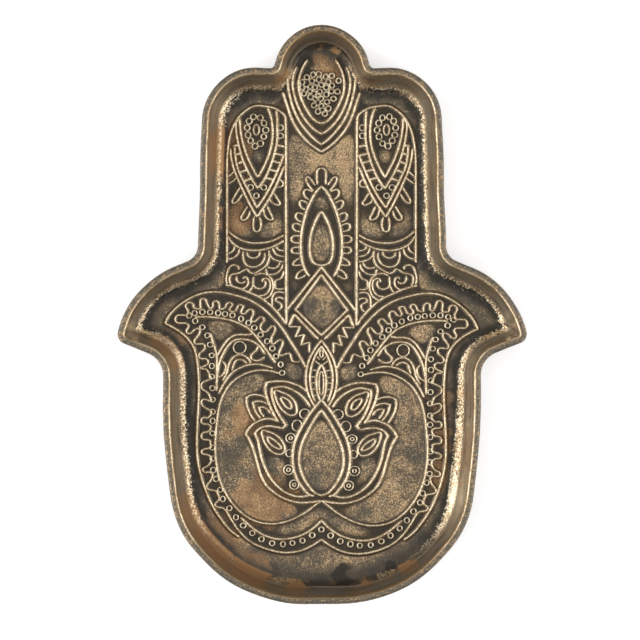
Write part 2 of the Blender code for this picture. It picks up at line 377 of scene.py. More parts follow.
# %% Wall section in millimetres
dish_low, dish_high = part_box("dish_body")
BASE_Z = dish_low.z / MM
RIM_Z = dish_high.z / MM
FLOOR_Z = BASE_Z + 3.0
RIM_WIDTH = 2.5
RIM_OUTER_RADIUS = 1.0
RIM_INNER_RADIUS = 0.7
WALL_LEAN = math.radians(12)
COVE_RADIUS = 4.5
BASE_RADIUS = 7.0
QUARTER = math.pi / 2


def even(steps, end):
    return [end * step / steps for step in range(steps + 1)]


def curl(radius, low_z, top_inset, top_z, steps):
    """Arc from the level at low_z up to the leaning wall that ends at (top_inset, top_z)."""
    steepest = QUARTER - WALL_LEAN
    tangent_z = low_z + radius * (1 - math.cos(steepest))
    centre = top_inset + (top_z - tangent_z) * math.tan(WALL_LEAN) + radius * math.sin(steepest)
    slopes = even(steps, steepest)
    return [(centre - radius * math.sin(a), low_z + radius * (1 - math.cos(a))) for a in slopes]


def leaning(low, high, steps):
    """Points between two ends of the straight wall, without the ends."""
    return [tuple(Vector(low).lerp(Vector(high), share)) for share in even(steps, 1.0)[1:-1]]


def wall_section():
    outer_top, inner_top = RIM_Z - RIM_OUTER_RADIUS, RIM_Z - RIM_INNER_RADIUS
    outside = curl(BASE_RADIUS, BASE_Z, 0.0, outer_top, 10)
    inside = curl(COVE_RADIUS, FLOOR_Z, RIM_WIDTH, inner_top, 16)
    outer_edge = [
        (RIM_OUTER_RADIUS * (1 - math.cos(a)), outer_top + RIM_OUTER_RADIUS * math.sin(a))
        for a in even(4, QUARTER)
    ]
    crown = RIM_WIDTH - RIM_INNER_RADIUS
    inner_edge = [
        (crown + RIM_INNER_RADIUS * math.sin(a), inner_top + RIM_INNER_RADIUS * math.cos(a))
        for a in even(3, QUARTER)
    ]
    outside += leaning(outside[-1], outer_edge[0], 4) + outer_edge
    inside += leaning(inside[-1], inner_edge[-1], 4)
    return outside + inner_edge + inside[::-1]


section = wall_section()
print("points in the section:", len(section))

# %% [markdown]
# ## The casting
# The rings of the loft are stitched with quads. The flat floor gets an even net of points, because the
# patina will later be stored on its vertices. A weak, slow noise moves the wall in and out by a fraction
# of a millimetre, as on a casting that was finished by hand, and lets the highlights wander. The inner
# edge of the rim is marked as a crest, because hands and cloth rub it bare; the bronze also paints a
# highlight along it.

# %% Loft, floor and underside
FLOOR_STEP = 0.75
UNDERSIDE_STEP = 3.0
WAVE_LENGTH = 17.0
WAVE_HEIGHT = 0.35
NEXT_WAVE = Vector((31.0, 17.0, 0.0))
ROW_SHARE = math.sqrt(3) / 2
EDGE_START = RIM_WIDTH - RIM_INNER_RADIUS * 1.12
EDGE_FULL = RIM_WIDTH - RIM_INNER_RADIUS * 0.62


def cast_wave(point):
    """A slow wander, which fades out towards the floor so that the floor stays flat."""
    fade = min(max((point.z - FLOOR_Z) / (RIM_Z - FLOOR_Z), 0.0), 1.0)
    place = point / WAVE_LENGTH
    wander = Vector((noise.noise(place), noise.noise(place + NEXT_WAVE), 0.0))
    return point + wander * WAVE_HEIGHT * fade


def fill_level(shape, ring, step):
    """Closes a level ring with triangles on an even net of points."""
    edge = [vertex.co.xy for vertex in ring]
    low = Vector((min(p.x for p in edge), min(p.y for p in edge)))
    high = Vector((max(p.x for p in edge), max(p.y for p in edge)))
    net = []
    for row in range(int((high.y - low.y) / step / ROW_SHARE)):
        for column in range(int((high.x - low.x) / step)):
            net.append(low + Vector((column + row % 2 / 2, row * ROW_SHARE)) * step)
    filled = delaunay_2d_cdt(edge + net, [], [list(range(len(edge)))], 1, 1e-6)
    points, faces, origins = filled[0], filled[2], filled[3]
    corners = {}
    for index in {index for face in faces for index in face}:
        on_edge = [origin for origin in origins[index] if origin < len(edge)]
        corners[index] = ring[on_edge[0]] if on_edge else shape.verts.new((*points[index], ring[0].co.z))
    for face in faces:
        shape.faces.new([corners[index] for index in face])


def cast_dish():
    shape = bmesh.new()
    crest = shape.verts.layers.float.new("crest")
    rings = []
    for inset, height in section:
        outline = [cast_wave(Vector((*point, height))) for point in hand_outline(inset)]
        rings.append([shape.verts.new(point) for point in outline])
        if inset > EDGE_START and height > RIM_Z - RIM_WIDTH / 2:
            for vertex in rings[-1]:
                vertex[crest] = min((inset - EDGE_START) / (EDGE_FULL - EDGE_START), 1.0)
    for lower, upper in zip(rings, rings[1:]):
        for i in range(len(lower)):
            shape.faces.new((lower[i - 1], lower[i], upper[i], upper[i - 1]))
    fill_level(shape, rings[0], UNDERSIDE_STEP)
    fill_level(shape, rings[-1], FLOOR_STEP)
    bmesh.ops.recalc_face_normals(shape, faces=shape.faces)
    bmesh.ops.scale(shape, vec=(MM, MM, MM), verts=shape.verts)
    mesh = bpy.data.meshes.new("dish")
    shape.to_mesh(mesh)
    shape.free()
    mesh.shade_smooth()
    return mesh


dish = add_piece("dish", cast_dish())
print(f"dish: {len(dish.data.polygons)} faces")

# %% [markdown]
# ## Drawing the ornament
# The ornament is drawn like a pattern on paper: points in millimetres to the right of the middle line,
# joined by smooth curves. A bar marks a sharp corner and a semicolon ends a stroke. Every stroke is
# mirrored, and one that starts on the middle line runs on through it. The pattern was laid in by hand,
# so its left half sits a little higher in the palm, and the drawing leans the same way.

# %% Strokes from text
LINE_STEP = 0.55
MIDDLE_X = -0.2
LEAN = 0.036
LEAN_TOP = 14.0
LEAN_FULL = -4.0
strokes = []


def placed(x, y):
    """A drawn point on the floor, with the lean of the left half."""
    share = (LEAN_TOP - y) / (LEAN_TOP - LEAN_FULL)
    return x + MIDDLE_X, y - min(x, 0.0) * LEAN * min(max(share, 0.0), 1.0)


def read_points(text):
    points = []
    for mark in text.split():
        points.append(points[-1] if mark == "|" else tuple(map(float, mark.split(","))))
    return points


def smooth(points, closed):
    """Runs a cubic between every two points, and straight into a doubled point."""
    knots = [Vector(point) for point in points]
    count = len(knots)
    path = []
    for i in range(count if closed else count - 1):
        around = [i - 1, i, i + 1, i + 2]
        around = [k % count if closed else min(max(k, 0), count - 1) for k in around]
        before, start, end, after = [knots[k] for k in around]
        reach = (end - start).length / 3
        if reach > 0:
            leave = start + (end - before).normalized() * reach
            arrive = end - (after - start).normalized() * reach
            steps = math.ceil(3 * reach / LINE_STEP) + 1
            path += interpolate_bezier(start, leave, arrive, end, steps)[:-1]
    return path if closed else path + knots[-1:]


def draw(width, text):
    """Adds strokes of one width, each as (width, points, closed)."""
    for stroke in filter(None, map(str.strip, text.split(";"))):
        right = read_points(stroke)
        left = [(-x, y) for x, y in right]
        if right[0][0] == 0:
            closed = right[-1][0] == 0
            sides = [left[:0:-1][closed:] + right]
        else:
            closed = right[0] == right[-1]
            sides = [right[closed:], left[closed:]]
        for side in sides:
            strokes.append((width, smooth([placed(x, y) for x, y in side], closed), closed))


# %% Middle fingertip: four hanging drops, one in the other
draw(1.1, """
    0,66.7 1.4,67.1 3.2,68.6 4.9,71 6.4,73.9 7.5,76.7 8,79.7 7.8,82.5 7,85.2 6,87.2 4.8,89;
    0,63 | 1.7,63.9 4.2,66.2 6.7,69.6 8.6,73.8 9.7,77.6 10.1,81 9.7,84 8.6,86.6;
    0,59.3 | 1.7,60.5 4.7,63.5 7.7,67.5 9.8,72 11.1,76.5 11.7,79.8 11.9,82.3;
    0,56.8 | 1.7,57.8 4.7,60.2 8.2,64.3 10.5,68.6 12,73 13,76 13.5,77.6
""")
print("strokes so far:", len(strokes))

# %% Finger panels: frame, drops, petals, ladder and swags
draw(0.95, """
    12.2,-3.9 12.3,20 12.4,45 12.5,68.3 13.1,69.8 14.7,71 16.7,72 19.2,72.5 22.2,72.8 24.2,72.4
        26.2,71.2 27.8,69.9 29,68.6 30.1,66.9 31.2,64.5 32,62 32.5,59 32.9,55 33,50 33,29 33,18;
""")
draw(1.0, """
    18.9,72.2 18,70.2 17.3,67.5 17,64.5 17.1,61 17.7,57.8 18.9,54.2 20.5,50.8 22.2,47.8 |
        23.7,50.5 25.2,53.5 26.6,57 27.6,60.5 28.2,63.5 28.5,66.5 28.6,68.8;
    15.8,71.3 15.5,69 15.4,65 15.4,61.5 15.8,58.5 16.7,55 18.1,51 19.7,47.5 22.2,44 |
        24.4,47.5 26.2,51 27.7,54.5 28.8,58.5 29.5,62 29.9,65.5 29.7,67 28.9,68.5;
    13,56 13.7,54 15,50.8 16.4,47.5 17.9,44.5 19.7,41.3 22.5,37.2 |
        24.2,40.5 25.7,43.5 27.2,46.5 28.4,49 29.4,51.5 30.2,56 30.3,59;
    13,51.8 14.2,48.8 15.7,45.3 17.7,41.3 20.2,37.3 22.5,34 |
        25.3,39 27.5,43.5 29.3,47.5 30.5,50.5 31.5,54.5 31.8,58;
    13.1,27.7 15.7,26.3 18.7,25.3 22.2,24.9 25.7,25.2 28.7,26.3 31,27.8 32.7,29.3;
    13.1,25.8 15.2,24.5 18.2,23.2 21.2,22.5 24.7,22.4 27.7,23 30.2,24.3 31.7,25.8 33,27.8
""")
draw(0.8, """
    21.6,34 21.2,32.5 21.2,30.5 21.8,29.2 22.6,28.9 23.5,29.4 23.8,31 23.7,33 23.4,34.3;
    19,38 18,35.8 17,33.7 17.2,33 18.2,33.1 19.4,34 20.1,35.6 20.2,37;
    16.7,42.6 15.4,40.5 14.4,38.8 14.8,38.2 16,38.4 17.4,39.3 18.1,40.5;
    14.8,47.2 13.8,46.6 13.3,45.6 13.7,44.7 15.2,44.4 16.2,44.7;
    25.8,37.8 27,35.8 28.1,33.8 27.5,32.9 26.4,33.2 25.4,34.5 24.9,36.3;
    28.4,44.3 29.9,42 31.1,39.7 30.8,38.8 29.7,39.2 28.5,40.6 27.5,42.2;
    30.2,50.2 31.5,48.9 32.7,47.8; 29.4,47.9 30.8,46.6 32.8,45.4
""")
draw(1.3, """
    12.9,58.5 15.7,59; 13.2,55.4 16.5,56.2; 14.2,52.7 17.2,53.6; 15.4,49.8 18.4,50.7; 16.7,46.9 19.7,47.8;
    28.9,59 31,58.6; 28.2,56.2 30.2,55.6; 27.3,53.4 29.7,52.4; 26,50.5 28.8,49.3; 24.5,47.6 27.2,46.3
""")
draw(0.65, """
    22.7,66.3 23.4,65.7 23.7,64.4 23.4,63.1 22.7,62.5 22,63.1 21.7,64.4 22,65.7 22.7,66.3
""")
print("strokes so far:", len(strokes))

# %% Scallops and scrolls under the swags
draw(0.8, """
    13.1,22.3 14.4,22.4 15.4,23.1 15.8,24;
    13.1,20.2 14.7,20.5 16.2,21.5 17.1,23.4;
    13.1,18.4 14.7,18.6 16.7,19.4 18,20.8 18.4,22.5;
    21.4,22 21.8,20.6 23,19.8 24.4,19.8 25.6,20.6 26,21.9;
    19.9,21.8 19.7,20.2 20.5,18.3 22,17 23.7,16.6 25.6,17 26.9,18.4 27.4,20.3 27.3,22.2;
    18.4,22.3 18.2,20.8 18.4,19 19,17.5 20,16.4 21.7,15.3 23.7,14.2;
    14.5,18.2 15,17 16.2,16.2 17.6,16.2 18.7,16.6;
    13.5,17.8 13.7,16.5 14.8,15 16.4,14.1 18,13.9 19,14.4 19.3,16;
    13.1,15.3 13.4,13.8 14.4,12.4 16,11.7 16.2,10 15.9,9;
    23.4,13.5 22,14.2 20.2,14.3 18.5,13.6 17.2,12 16.8,10 17.1,8 18,6.3 19.5,5.2 20.4,5;
    20.5,11.1 20.5,12.1 19.5,12.6 18.2,12 17.8,10.3 18.2,8.3 19.5,6.8 21.5,6.2 23.2,6.3;
    19.8,12 19.4,10.8 20,9.4 21.4,8.8 22.9,9.2 23.8,10.3 23.8,12 23.7,13.3;
    23.8,10.3 24.4,9 25.2,7.8 26,7.3;
    23.7,14.2 25,14.8 26,15.8 27.2,15.4 28.5,14.6 30.2,14.2 31.5,13.8 32.1,12.5 31.8,10.8 31,9.6;
    27.3,12.2 26.9,13 26,12.8 25.5,11.5 25.8,10 27,8.9 28.7,8.6;
    26.5,11.7 27.4,10.9 28.7,11 29.6,12.2 29.6,13.5;
    28.8,15.6 29,16.7 30.2,17.3 31.5,17 32.4,16 33,14 33.2,12 32.8,10.3;
    30.4,24 30.6,22.7 31.5,21.7 32.9,21.2; 28.6,23 29.1,21.3 30.5,19.9 32.8,19.2;
    13.1,8.9 14.5,8.7 15.8,9 16.7,9.8;
    13.1,7.4 14.7,7.7 16.2,7.3 17,6 17.2,4 17.2,2.3;
    13.1,5 14.2,5.7 15.5,5.6 16,4.8 15.2,4.1 14.2,3.6 13.8,2.6 14.5,1.5 15.5,0.8
""")
print("strokes so far:", len(strokes))

# %% Middle panel: leaf with its petals, diamonds and zigzag
draw(1.05, """
    0,44.6 | 1.5,43.3 3.2,40.5 5,36.5 6.3,32 7,28 7.2,24.5 7,20.5 6.3,17.3 5.2,14.8 4.2,13.2;
    0,36 | 1.2,34.3 2.7,31 3.7,27.5 4.1,24 3.8,20.5 2.8,18.2 1.2,17.3 0,17.2;
    0,16.6 | 12.3,1; 0,14 | 9,1.6 | 0,-7.2 |; 11.4,-4.4 9.5,-0.1 | 1,-8.7
""")
draw(0.8, """
    0,51 1.1,50.7 1.55,49.8 1.5,45.2;
    2.2,45 3.7,47.2 4.8,48 5.4,47.4 5,46 3.8,44.2 2.8,43;
    3.2,42.8 4.7,43.5 5.8,43.4 6.2,42.3 5.5,40.9 4.4,40;
    4.8,38.8 6.2,39.6 7.4,39.6 7.6,38.5 6.8,37.2 5.4,36.4;
    6,34.6 7,35.2 8.4,35.4 9,34.3 8.2,32.9 6.8,32.2;
    7,31 8.4,31.7 9.7,31.5 10,30.4 9.1,29.3 7.5,28.9;
    7.4,27.4 9,27.5 10.3,27 10.4,25.8 9.4,25.1 7.5,25;
    7.4,23.5 8.8,23.5 10.2,23 10.3,22 9.4,21.4 7.4,21.4;
    7.2,19.8 8.4,19.3 9.8,18 9.6,17.2 8.2,17.2 6.8,17.4;
    6,15.9 7.7,14.9 8.7,13.5 8.5,12.5 7.2,12.8 5.5,13.8;
    11.4,-4.6 7.5,-4.5 | 9,-8 | 6,-7.2 | 7.1,-10.8 | 4.2,-9.8 | 4.2,-13.5
""")
print("strokes so far:", len(strokes))

# %% Almond below the diamonds
draw(0.9, """
    0,-8.9 | 2.2,-12 4,-15.3 5,-18.5 5.4,-22 5.2,-25.3 4.5,-28 3.3,-30.5 2.3,-32.2;
    0,-11 | 1.6,-13.4 2.9,-16.3 3.7,-19.3 4,-22.5 3.7,-25.5 3,-28.3 2.2,-30.5;
    0,-17.4 | 1,-19.3 1.6,-21.7 1.7,-24 1.5,-26.5 1,-28.5 0,-29.8
""")
draw(0.6, """
    0,-19.8 0.6,-21 0.8,-23.5 0.7,-26 0,-28; 1.6,-19.6 3.5,-19.3; 1.8,-21.9 3.9,-21.8;
    1.8,-23.8 3.9,-24; 1.6,-26 3.6,-26.2; 1.2,-28.2 3.1,-28.4;
    0,-12.3 0.6,-13.4 0,-14.9; 0.4,-17.6 2.4,-16; 0.5,-15.9 1.6,-14.6
""")
print("strokes so far:", len(strokes))

# %% Thumbs and border
draw(1.0, """
    12.2,-3.9 13.6,-1.8 15.5,0.6 18,3.1 21,5.4 25,7.3 28,8.6 31,9.6 33.5,10.2;
    5.2,-19 6.7,-16.2 8.7,-12.8 11.2,-9 13.5,-5.5 16.2,-2.3 19.2,0.7 22.2,3 25.7,4.9 29.7,6.2 34.2,7.2
        37.7,7.4 41.2,6.9 44.7,5.5 47.7,3.6 50.2,1.5 52.4,-1 53.8,-3.2 54.5,-5 |
        52.2,-6.1 49.7,-7.5 47.4,-9.3 45.4,-11.6 44.1,-14.3 43.4,-17.5 43,-21.5 42.8,-26 42.9,-32
        43.2,-38 43.5,-44 43.4,-50 42.7,-55 41.5,-59.5 40,-63.7 38,-68 35.4,-72 32.2,-75.9 28.7,-78.6;
    16,-17.5 17.7,-15 19.7,-12.3 21.7,-9.7 23.5,-7.6 25.7,-5.6 28.7,-4.1 32.2,-2.9 36.2,-2.3 40.2,-2.1
        44.2,-2.3;
    38.9,-7.6 37.8,-11 36.6,-15.3 36.5,-21 36.6,-28;
    24.2,-7.6 26.2,-8 28.7,-8 30.7,-8.5 32.7,-10 34.4,-12.3 36.4,-15.8;
    19.5,-14.7 21.2,-12.2 23.2,-10.6 25.7,-9.7 28.7,-9.6 31,-10.5 33.2,-13 35,-16.5 36,-20 36.5,-24
""")
draw(0.9, """
    22.2,-11.5 22.4,-12.8 23.5,-14 24.5,-15 24.5,-16 23.2,-16.8 21.4,-16.6 19.8,-15.4;
    24.5,-18 25.5,-16.2 27.5,-15.1 29.7,-15.3 31.4,-16.8 32.4,-19 33,-21.5 34.5,-24.5;
    26,-18 27,-17 28.7,-16.7 30,-17.4 30.7,-19 31.2,-20.8;
    34.5,-17.5 33.4,-18.8 33.5,-20.5 34.5,-22.3 36,-23.2
""")
print("strokes so far:", len(strokes))

# %% Frill inside the border
draw(0.8, """
    7.4,-16.6 8.7,-16.8 10,-16.5 10.6,-15 11.2,-13.9 12.5,-14.2 13.7,-14.7 14.7,-14.4 14.6,-13.3
        13.8,-11.5 13.4,-10 14.1,-9.2 15.4,-9.8 16.5,-10.8 17.2,-10.6 17.5,-9.3 17,-7.8 16.2,-6.2
        16.3,-4.9 17.2,-4.6 18.2,-5.6 19.5,-6.7 20.8,-6.3 21.3,-5.2 20.8,-3.9 20,-2.8 20.2,-1.8
        21.2,-1.5 22.2,-2.2 23.2,-3.2 24.4,-3 24.4,-2 23.8,-0.7 23.8,0.6 24.7,1.2 25.8,0.6 26.5,-0.3
        27.5,-0.5 28,0 27.7,1.2 27.2,2.2 27.9,2.8 28.9,2.6 29.5,1.4 30.1,0.4 31.2,0.2 32,0.5 32,1.3
        31.2,2.3 31.1,3 32,3.6 33,3 33.5,1.8 34.4,1.1 35.5,1.2 35.6,2.3 36,3.6 37,4 37.8,3.4 37.9,2
        38.5,1.2 39.4,2 40,3.4 40.5,4.6 41.5,4.8 42.3,4 42.2,2.3 42.3,1 43.4,0.9 44.5,1.3 44.7,2.6
        45.7,3.2 46.9,2.9 47.4,1.8 46.8,0.6 46.5,-0.7 47,-1.6 48.7,-1.7 50.2,-1.9 50.9,-2.7 50.9,-4
        50,-4.7 48.2,-4.7 46.7,-4.9 46.4,-6 47.1,-7.3 46.7,-8.2 45.5,-8.1 44.4,-7 43.2,-6.4 42.4,-6.8
        42.6,-8.2 43.6,-9.6 44.4,-11 43.7,-11.9 42.2,-11.7 41,-11.8 40.6,-12.9 41.2,-14 42.4,-15
        42.8,-16.1 41.8,-16.9 40.4,-16.8 39.6,-17.4 39.6,-18.5 40.7,-19.4 42.2,-20 41.8,-20.4 40.2,-20.5
        39.4,-21.5 39,-22.8 38.5,-23.6 39.7,-24.3 41.2,-25 42,-26 41.7,-27.3 40.5,-28.1 39.5,-28.8
        38.9,-30.2 38.5,-31.5 39.7,-31.2 41.2,-31 41.9,-31.8 41.6,-33 40.4,-34 39,-34.6 38.3,-35.3
        38.8,-36.6 39.7,-37.4 41,-37.3 41.9,-38 41.9,-39 41,-39.6 39.6,-39.6 38.7,-40.2 38.7,-41.3
        39.7,-42.3 41.2,-42.6 41.9,-43.6 41.6,-44.8 40.2,-45 38.9,-45.3 38.7,-46.5 38.5,-47.6 39.5,-48
        40.7,-48.3 41.8,-49 41.5,-50 40,-50.2 38.8,-50.8 38.4,-52 39,-53.4 40,-54.4 41.2,-54.9
        41.5,-55.8 40.5,-56.4 39,-56.3 38,-57 38.2,-58.3 38.7,-59.3 39.5,-60.3 40.1,-61.3 39.4,-62.2
        38.2,-62.5 36.7,-62.8 36.2,-63.6 35.7,-64.8 35.8,-66 36.7,-66.7 37.2,-67.5 36.5,-68.3 35.2,-68.5
        34,-68.8 33,-70 31.5,-72.5 29.5,-75.5 27.2,-78 24.7,-80 22.5,-81
""")
print("strokes so far:", len(strokes))

# %% Palm: the round field, the lotus and the brackets
draw(0.9, """
    17,-19.3 19.2,-18.6 22.2,-18.1 25.2,-18.4 28.2,-19.5 31.2,-21.5 33.5,-24.5 35.2,-27.5 35.8,-29;
    0,-64.9 | 2.2,-66.5 5.2,-68.9 8.7,-71 12.7,-72.7 16.7,-73.5 20.9,-73.3 24.9,-72 28.5,-69.5 31.5,-66.3
        33.8,-62.7 35.4,-59 36.4,-55 37,-50 37,-45 36.6,-40 36,-35 35,-31 33.6,-28 31.7,-25.3
        29.2,-23.1 26.2,-21.4 23.2,-20.4 20.2,-20.1 17.2,-20.4 14.7,-21
""")
draw(1.1, """
    0,-29.7 | 2,-32 4.2,-35 6.2,-38.3 8.2,-42 9.4,-45.3 10,-49 9.9,-52.5 9.2,-55.8 7.8,-58.8 6,-61.2
        4.4,-62.8 2.5,-63.4;
    0,-33.3 | 1.7,-35.5 3.7,-38.8 5.7,-42.7 7.2,-46.5 7.8,-50.5 7.4,-54 6.1,-57.3 4.2,-60.2 2.2,-62.2
        0,-63 |;
    4.7,-27.3 6.7,-25.7 9.2,-24.6 12.2,-23.8 15.7,-23.8 19,-24.3 | 19.6,-26 19.4,-28 18.7,-30.5 17.7,-33
        16.4,-35.7 15.1,-37.8 | 16.5,-37.2 18.7,-36.9 21.2,-37.6 23.5,-38.8 25.2,-40.5 26.4,-42.5 |
        25.4,-44 24.2,-46.5 23.2,-49.5 22.2,-53 21.2,-56.5 19.5,-59.8 17.2,-62 14.2,-64 10.7,-65.3
        7.2,-65.8 3.7,-65.5 0.2,-64.9;
    3.9,-32.5 5.2,-30.3 7.7,-27.9 10.7,-26.3 13.7,-25.6 17.2,-26.3 | 17.4,-28 16.9,-30.5 16,-33
        14.7,-35.6 13.2,-37.7 12.4,-38.8 | 13.5,-40 15.2,-39.8 18.2,-39.5 20.7,-40 22.2,-41 23.2,-42.3 |
        22.2,-44.5 21.6,-47.5 20.9,-50.8 19.7,-54 18,-57.2 15.7,-60 12.7,-62.3 9.2,-63.6 6.2,-63.6
        3.7,-62.9;
    0,-71.7 | 2.2,-74 5.2,-76.2 8.7,-77.8 12.2,-78.6 15.7,-78.7 19.7,-77.7 23.7,-75.4 28.2,-71.7;
    0,-78.4 | 3.2,-80.6 7.2,-82.5 11.2,-83.3 15.2,-83.2 20.2,-82 24.2,-80.4
""")
draw(0.9, """
    16.2,-27.2 13.7,-27.6 11.2,-28.7 9.4,-30.5 8.6,-33 8.8,-34.8 10.2,-35.5 12,-35 13.7,-33.6 15,-31.8
        16,-29.5 16.2,-27.2;
    14,-29.5 12.2,-29.8 11,-30.8 10.4,-32.5 10.8,-33.2 12.2,-32.7 13.4,-31.2 14,-29.5;
    19.4,-29.6 21.2,-28.9 23.5,-28.7 25.2,-29.2 26.1,-30 | 26.1,-32 25.5,-34 24.5,-36 23.2,-38;
    18.6,-31.9 20.5,-31.1 22.5,-31 23.9,-31.5 | 23.6,-33 22.7,-35 21.2,-37;
    17.8,-35.3 18.7,-33.8 20.2,-33 21.8,-33.1 | 21.2,-34.8 20,-36.4;
    20.7,-41.3 18.7,-41.4 16.2,-42.3 14.1,-44 12.9,-46.2 12.8,-48 13.9,-49.1 15.7,-49.1 17.7,-48
        19.4,-46 20.4,-43.8 20.7,-41.3;
    18.8,-43.5 17,-44 15.2,-45.3 14,-46.9 14.4,-47.4 16,-46.9 17.7,-45.8 18.8,-43.5
""")
print("strokes drawn:", len(strokes))

# %% [markdown]
# ## Rings
# Small rings fill the middle fingertip, make the flowers of the finger panels and follow the lines as
# beads. Only their middles are drawn, so the same ring can be set on every point by Geometry Nodes.

# %% Middles and radii of the rings
rings = []


def ring_row(radius, text, mirrored=True):
    for x, y in read_points(text):
        sides = {x, -x} if mirrored else {x}
        rings.extend((radius, *placed(side, y)) for side in sorted(sides))


ring_row(0.9, """
    -5.1,82.7 -2.9,83.6 -0.9,83.8 1.5,82.9 3.6,83.2 6,81.5 -6.7,81 -3.3,81.4 -0.8,81.9 0.8,81.4
    2.4,81.1 -1.8,80.6 0,80.1 3.7,79.8 -6.7,79.2 -5.4,78.5 -3.8,79.3 -2.3,79.2 1.7,79.1 -4,77.9
    -0.6,77.6 3.5,77.8 5.6,77.7 -6.1,77 -2.5,77 1.7,76.7 -3.8,75.8 -1.2,76.3 -2.1,75.2 -0.2,75.3
    4.2,75.2 -1.2,73.8 1.9,74.1 -2.6,72.9 -0.1,72.7 2.4,71.8 0.4,71.2 -1.2,70.8 1.2,70
""", mirrored=False)
ring_row(1.0, """
    21.3,68.6 23.7,68.9 25.2,67.4 25.9,65.1 25.6,62.6 24.7,60.6 23.2,58.7 21.3,59.6 20.1,62 19.4,64.3
    20,66.7 14.3,65.1 14.3,62.3 20.1,44.3 24.7,44.3 22.7,41.4
""")
ring_row(0.9, """
    13.7,-20.8 14.2,-17.9 15.8,-15.1 17.1,-12.4 18.9,-10 21.2,-7.8 23.4,-5.4 25.4,-3.8 28,-2.4 31,-1.2
    33.6,-0.8 36,-0.5 38.8,-0.3 41.5,-0.3 44.2,-0.8 46.1,-1.8 44,-3.8 41.5,-5.9 39.8,-8.7 38.8,-11.9
    38.2,-15.6 38.2,-19.3 38.2,-23 38,-27 37.9,-31 37.9,-35.2 37.9,-38.4 38,-42.7 38,-47.7 37.9,-51.5
    37.7,-55.5 36.7,-58.6 35.3,-62.3 34.4,-65.5 32.1,-68.6 29.8,-71.7 27.3,-74.5 24.1,-77 20.9,-79
    17.2,-80.3 13.4,-80.5 10.1,-80 6.6,-79 3.2,-77 0,-74.9
""")
for radius, place in ((1.7, "5.8,-34.8"), (1.8, "8.5,-39 11.5,-54.5"), (1.6, "10.7,-43.4 9.5,-59.6")):
    ring_row(radius, place)
ring_row(1.3, "11.2,-48.7")
ring_row(2.2, "28.5,-12.5")
ring_row(0.6, "10.7,-43.4 9.5,-59.6 11.5,-54.5")
print("rings set:", len(rings))

# %% [markdown]
# ## Antique bronze
# The finish is one material for the whole casting: a dark patina, which a cloth has rubbed back wherever
# it could reach, with painted highlights on the cove, the wall and the rim's edge and painted shade at the
# foot of the wall. It reads five values from the meshes: how high a point sits on a raised line or on the
# rim's inner edge, how close it lies to the foot of a line, how far the next line is, how much room there
# is around it, and how far the cove is. Noise of several sizes keeps every border ragged.

# %% Bronze colours
PATINA = (0.080, 0.069, 0.052)
PATINA_BROWN = (0.165, 0.116, 0.068)
SOOT_AND_SHADE = (0.024, 0.019, 0.013)
WALL_GREY = (0.42, 0.37, 0.30)
WALL_BROWN = (0.44, 0.34, 0.23)
WALL_COPPER = (0.56, 0.35, 0.19)
RIM_GREY = (0.12, 0.108, 0.085)
RUBBED = (0.47, 0.315, 0.17)
SAND = (0.68, 0.50, 0.29)
GOLD = (0.47, 0.355, 0.215)
PALE_GOLD = (0.98, 0.86, 0.63)
COPPER = (0.40, 0.21, 0.085)


# %% What the bronze can read at a point
def read_casting(bench):
    """Place, slope, stored values and grains at a point of the casting."""
    at = SimpleNamespace(place=bench.node("ShaderNodeTexCoord", output="Object"))
    at.across, at.along, at.height = [at.place.part(axis) / MM for axis in "XYZ"]
    at.upright = bench.node("ShaderNodeNewGeometry", output="Normal").part("Z")
    for name in ("crest", "recess", "openness", "room", "shore"):
        setattr(at, name, bench.node("ShaderNodeAttribute", {"attribute_name": name}, output=2))
    at.dust = at.place.flakes(0.3)
    at.flake = at.place.flakes(0.42)
    at.fine = at.place.grain(0.35, 3.0)
    at.streak = at.place.grain(0.32, 2.0, (1, 6, 1))
    at.stripes = at.place.grain(2.2, 3.0, (6, 6, 1))
    at.patch = at.place.grain(5.0, 3.0)
    at.broad = at.place.grain(11.0, 2.0)
    return at


# %% Zones of the casting
# Each pair says where a zone begins and where it is full, in millimetres.
SIDES_FROM = (-90, -66)
SIDES_TO = (91, 81)
TOE_REACH = (3.6, 0.6)


def mark_zones(at):
    """Rim, wall, cove and floor by height and slope, the hand's long sides, and the foot of the wall."""
    at.rim = at.height.step(RIM_Z - RIM_OUTER_RADIUS, RIM_Z - RIM_OUTER_RADIUS / 2)
    at.wall = (1 - at.rim) * (at.upright + (at.fine - 0.5) * 0.1).step(0.68, 0.56)
    at.outside = at.upright.step(0.06, -0.06)
    at.cove = (1 - at.rim) * (1 - at.wall) * at.upright.step(0.9995, 0.99)
    at.floor = (1 - at.rim) * (1 - at.wall) * (1 - at.cove)
    # The hand's long sides face the side lamps: the painted highlights and painted shade are strongest
    # there.
    at.sides = at.along.step(*SIDES_FROM) * at.along.step(*SIDES_TO)
    # Foot of the wall: soot stays there, and painted shade darkens the corner.
    at.toe = (at.shore + (at.patch - 0.5) * 4 + (at.fine - 0.5) * 2).step(*TOE_REACH)


# %% [markdown]
# ## Wear and patches
# Each kind of wear is a mask that runs from 0 to 1. The cloth leaves specks on the open floor, more of
# them where it pressed, and bright flakes where the cove turns up into the wall, which carry a painted
# highlight on the hand's long sides. Soot stays at the foot of the wall, and painted shade darkens it
# there. Copper, soot with painted shade, and the strongest painted glints sit in a few places of this
# one dish, so short lists give their middles and radii, and noise warps the circles into ragged patches.

# %% Patches by x, y and radius in millimetres
COPPER_SPOTS = [
    (-33, 57, 12), (-30, 32, 8), (-54, -13, 9), (-50, -70, 10), (-38, -81, 13), (-25, -90, 10),
    (1, 87, 7), (-16, 83, 6), (17, 83, 5), (42, -56, 7), (44, -30, 6), (44, -44, 6), (-20, -64, 12),
    (-26, -38, 8), (-8, -97, 6), (14, -97, 6), (30, -89, 5),
]
